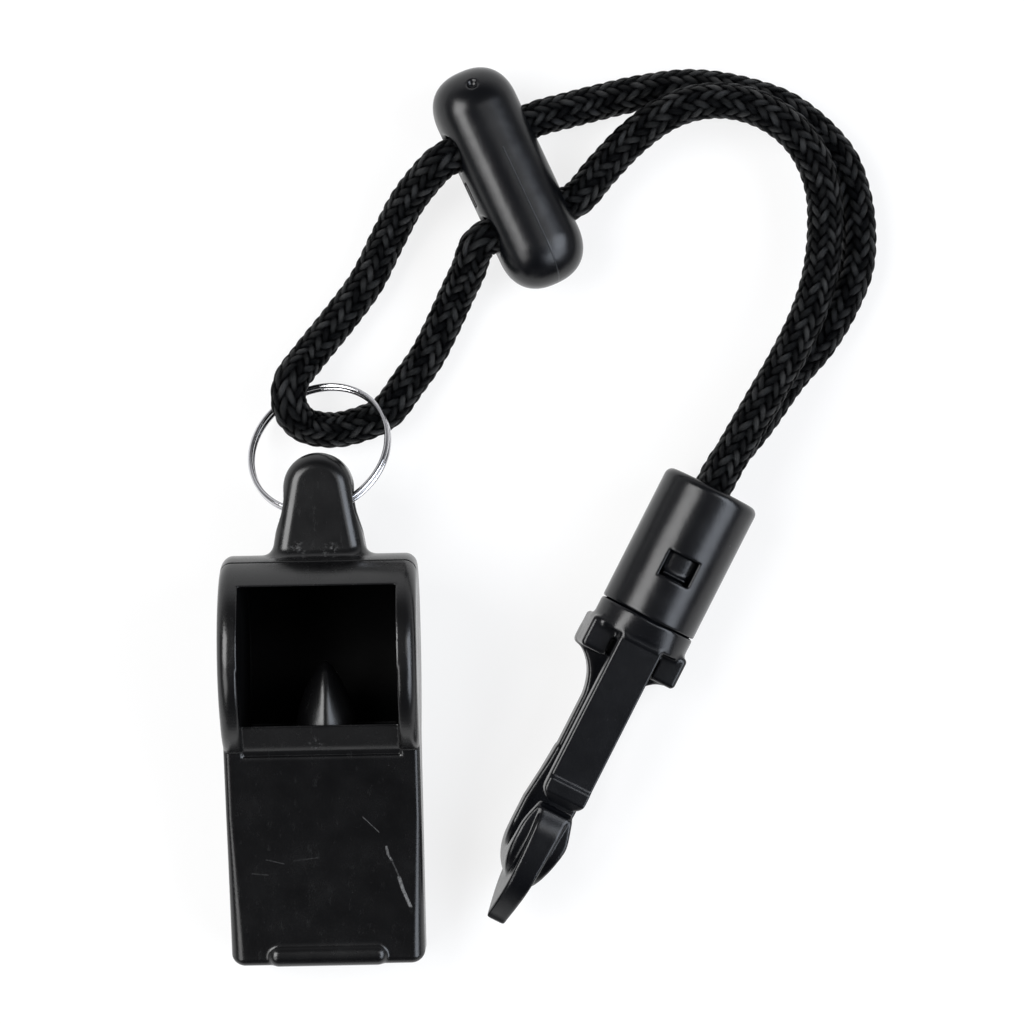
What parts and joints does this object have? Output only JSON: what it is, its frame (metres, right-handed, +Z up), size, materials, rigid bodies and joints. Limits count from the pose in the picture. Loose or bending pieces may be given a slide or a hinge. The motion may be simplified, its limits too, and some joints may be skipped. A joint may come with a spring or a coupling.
{
  "type": "sports whistle on a lanyard",
  "caption": "Black plastic referee whistle with a split ring, a short braided lanyard with a sliding bean, and a swivelling snap hook",
  "frame": {"origin": "on the table, under the middle of the whistle and its ring; the cord, slider and hook lie beside it", "axes": "+Z up from the table, +Y from the mouth end of the whistle to its lug, +X to the side where the hook lies"},
  "size_m": [0.0664, 0.0896, 0.02],
  "materials": {
    "whistle_plastic": "gloss",
    "fitting_plastic": "satin",
    "cord_braid": "woven",
    "ring_steel": "polished"
  },
  "bodies": {
    "whistle": {"upper_shell": "whistle_plastic", "lower_shell": "whistle_plastic", "windway_insert": "whistle_plastic"},
    "ring": {"split_ring": "ring_steel"},
    "lanyard": {"cord": "cord_braid", "hook_cap": "fitting_plastic", "cord_plug": "fitting_plastic"},
    "slider": {"cord_slider": "fitting_plastic"},
    "hook": {"hook_body": "fitting_plastic"},
    "gate": {"hook_gate": "fitting_plastic"}
  },
  "joints": [
    {"name": "ring_swing", "type": "hinge", "parent": "whistle", "child": "ring", "pos_m": [0, 0.0171, 0.0087], "axis": [1, 0, 0], "range_deg": [-50, 110], "deforming": ["cord"]},
    {"name": "lanyard_swing", "type": "hinge", "parent": "ring", "child": "lanyard", "pos_m": [0.0013, 0.027, 0.0028], "axis": [0.9647, -0.1311, 0.2286], "range_deg": [-60, 75], "deforming": ["cord"]},
    {"name": "slider_slide", "type": "slide", "parent": "lanyard", "child": "slider", "axis": [0.8997, 0.4006, -0.1736], "range_m": [-0.003, 0.003], "deforming": ["cord"]},
    {"name": "hook_swivel", "type": "hinge", "parent": "lanyard", "child": "hook", "pos_m": [0.03951, 0.01781, 0.0051], "axis": [0.4695, 0.8829, 0], "continuous": true},
    {"name": "gate_press", "type": "hinge", "parent": "hook", "child": "gate", "pos_m": [0.03191, 0.00265, 0.00863], "axis": [0.8773, -0.4665, -0.1132], "range_deg": [0, 12], "stiffness_Nm_per_rad": 0.4}
  ]
}
